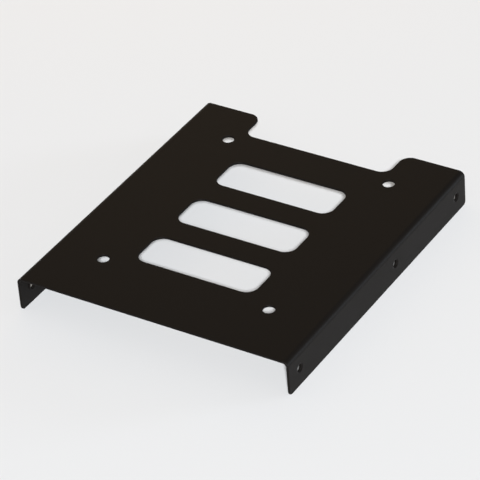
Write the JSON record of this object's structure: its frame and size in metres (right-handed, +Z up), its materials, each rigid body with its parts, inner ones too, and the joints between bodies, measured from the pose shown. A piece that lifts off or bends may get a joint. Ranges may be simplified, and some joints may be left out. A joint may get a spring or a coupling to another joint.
{
  "type": "drive bay adapter bracket",
  "caption": "Folded sheet steel bracket with a slotted plate that carries a small drive and side flanges that screw into a larger drive bay.",
  "frame": {"origin": "middle of the plane that the lower edges of the two side flanges stand on", "axes": "+X across the bay from the left flange to the right one, +Y from the plain front edge to the notched rear edge, +Z up out of the plate"},
  "size_m": [0.1002, 0.1146, 0.0127],
  "materials": {
    "black_powder_coat": "fine matte powder coat"
  },
  "bodies": {
    "root": {"bracket": "black_powder_coat"}
  },
  "joints": []
}
